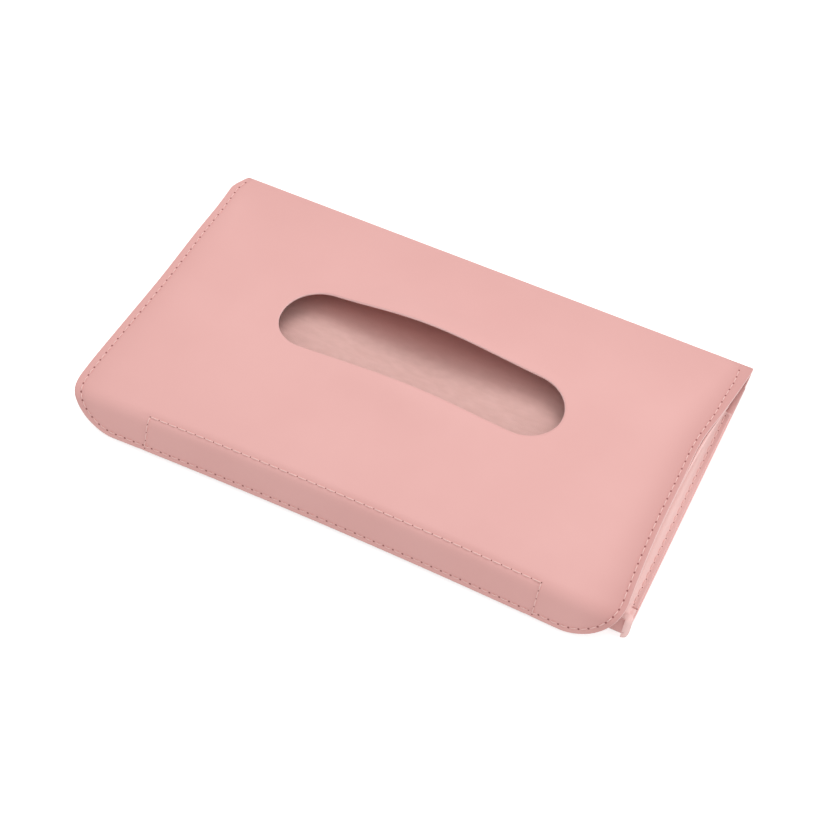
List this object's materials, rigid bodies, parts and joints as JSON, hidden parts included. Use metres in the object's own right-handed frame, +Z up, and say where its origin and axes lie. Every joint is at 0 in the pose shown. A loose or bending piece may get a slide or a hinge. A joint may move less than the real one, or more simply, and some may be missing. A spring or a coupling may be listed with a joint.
{
  "type": "car tissue holder",
  "caption": "Flat soft pouch with a domed front, a round-ended dispensing slot, a magnetic mouth, folding side gussets and elastic bands that grip a sun visor",
  "frame": {"origin": "centre of the footprint, on the surface that the elastic bands lie on", "axes": "+X along the length, +Y towards the spine fold, -Y out of the magnetic mouth, +Z up through the front"},
  "size_m": [0.235, 0.1424, 0.0207],
  "materials": {
    "outer_cover": "matt smooth leathercloth",
    "lining": "napped backing cloth",
    "stiffener": "plain grey board",
    "magnet": "flexible magnet strip",
    "webbing": "ribbed elastic webbing"
  },
  "bodies": {
    "back": {"back_panel": "outer_cover", "back_board": "stiffener", "back_lining": "lining", "lip_magnet_strip": "magnet", "lip_magnet_facing": "lining", "left_visor_band": "webbing", "right_visor_band": "webbing"},
    "flap": {"front_panel": "outer_cover", "front_lining": "lining", "flap_magnet_strip": "magnet", "flap_magnet_facing": "lining"},
    "left_gusset_lower": {"left_gusset_lower": "outer_cover"},
    "left_gusset_upper": {"left_gusset_upper": "outer_cover"},
    "right_gusset_lower": {"right_gusset_lower": "outer_cover"},
    "right_gusset_upper": {"right_gusset_upper": "outer_cover"}
  },
  "joints": [
    {"name": "flap_hinge", "type": "hinge", "parent": "back", "child": "flap", "pos_m": [0, 0.0684, 0.0042], "axis": [-1, 0, 0], "range_deg": [0, 10]},
    {"name": "left_gusset_lower_hinge", "type": "hinge", "parent": "back", "child": "left_gusset_lower", "pos_m": [-0.1129, 0.047, 0.0053], "axis": [0, -1, 0], "range_deg": [0, 33]},
    {"name": "left_gusset_upper_hinge", "type": "hinge", "parent": "flap", "child": "left_gusset_upper", "pos_m": [-0.11393, 0.047, 0.00743], "axis": [-0.0058, 0.9986, -0.0519], "range_deg": [0, 33]},
    {"name": "right_gusset_lower_hinge", "type": "hinge", "parent": "back", "child": "right_gusset_lower", "pos_m": [0.1129, 0.047, 0.0053], "axis": [0, 1, 0], "range_deg": [0, 33]},
    {"name": "right_gusset_upper_hinge", "type": "hinge", "parent": "flap", "child": "right_gusset_upper", "pos_m": [0.11393, 0.047, 0.00743], "axis": [-0.0058, -0.9986, 0.0519], "range_deg": [0, 33]}
  ],
  "couplings": [
    {"joint": "left_gusset_lower_hinge", "follows": "flap_hinge", "ratio": 3.3},
    {"joint": "left_gusset_upper_hinge", "follows": "flap_hinge", "ratio": 3.3},
    {"joint": "right_gusset_lower_hinge", "follows": "flap_hinge", "ratio": 3.3},
    {"joint": "right_gusset_upper_hinge", "follows": "flap_hinge", "ratio": 3.3}
  ]
}
